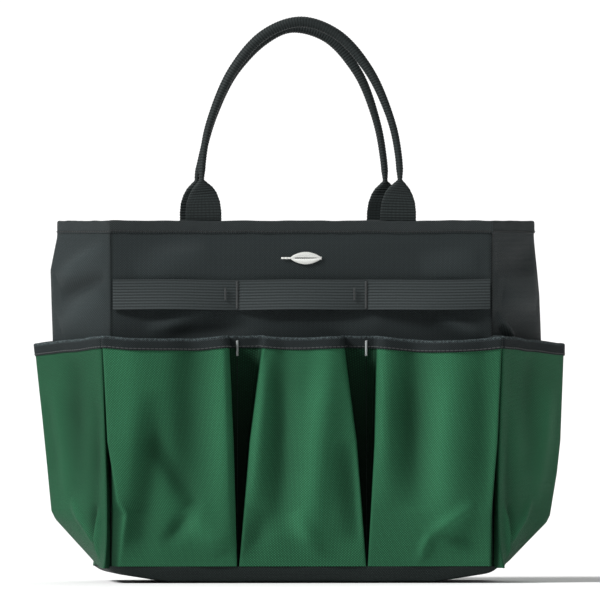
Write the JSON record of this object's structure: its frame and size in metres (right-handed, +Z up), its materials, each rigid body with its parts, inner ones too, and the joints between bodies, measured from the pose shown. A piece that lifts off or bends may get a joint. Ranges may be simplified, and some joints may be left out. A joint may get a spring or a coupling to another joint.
{
  "type": "garden tool bag",
  "caption": "Open-topped fabric tote for garden hand tools, with pleated outside pockets, webbing tool loops and two fold-down carrying handles.",
  "frame": {"origin": "on the ground, under the middle of the bag", "axes": "+Z up, +X to the right of someone facing the front, -Y towards that person"},
  "size_m": [0.4454, 0.2014, 0.4728],
  "materials": {
    "charcoal_cloth": "coated polyester weave, slight sheen",
    "green_cloth": "coated polyester weave, slight sheen",
    "binding_tape": "matte woven tape",
    "webbing": "ribbed woven webbing",
    "pale_thread": "satin embroidery thread",
    "base_board": "plain matte board",
    "core_cord": "twisted filler cord"
  },
  "bodies": {
    "bag": {"back_divider_bartack_left": "pale_thread", "back_divider_bartack_right": "pale_thread", "back_handle_anchor_left": "webbing", "back_handle_anchor_right": "webbing", "back_panel": "charcoal_cloth", "back_pocket_centre": "green_cloth", "back_pocket_centre_binding": "binding_tape", "back_pocket_left": "green_cloth", "back_pocket_left_binding": "binding_tape", "back_pocket_right": "green_cloth", "back_pocket_right_binding": "binding_tape", "base_board": "base_board", "base_lining": "charcoal_cloth", "base_panel": "charcoal_cloth", "corner_tape_back_left": "binding_tape", "corner_tape_back_right": "binding_tape", "corner_tape_front_left": "binding_tape", "corner_tape_front_right": "binding_tape", "front_divider_bartack_left": "pale_thread", "front_divider_bartack_right": "pale_thread", "front_handle_anchor_left": "webbing", "front_handle_anchor_right": "webbing", "front_panel": "charcoal_cloth", "front_pocket_centre": "green_cloth", "front_pocket_centre_binding": "binding_tape", "front_pocket_left": "green_cloth", "front_pocket_left_binding": "binding_tape", "front_pocket_right": "green_cloth", "front_pocket_right_binding": "binding_tape", "leaf_motif": "pale_thread", "left_side_panel": "charcoal_cloth", "right_side_panel": "charcoal_cloth", "rim_binding": "binding_tape", "side_pocket_left": "green_cloth", "side_pocket_left_binding": "binding_tape", "side_pocket_right": "green_cloth", "side_pocket_right_binding": "binding_tape", "strap_bartack_left": "webbing", "strap_bartack_right": "webbing", "tool_loop_strap": "webbing"},
    "front_handle": {"front_handle_core": "core_cord", "front_handle_grip": "webbing", "front_handle_tab_left": "webbing", "front_handle_tab_right": "webbing"},
    "back_handle": {"back_handle_core": "core_cord", "back_handle_grip": "webbing", "back_handle_tab_left": "webbing", "back_handle_tab_right": "webbing"}
  },
  "joints": [
    {"name": "front_handle_fold", "type": "hinge", "parent": "bag", "child": "front_handle", "pos_m": [0, -0.071, 0.302], "axis": [1, 0, 0], "range_deg": [-20, 155]},
    {"name": "back_handle_fold", "type": "hinge", "parent": "bag", "child": "back_handle", "pos_m": [0, 0.071, 0.302], "axis": [-1, 0, 0], "range_deg": [-20, 155]}
  ]
}
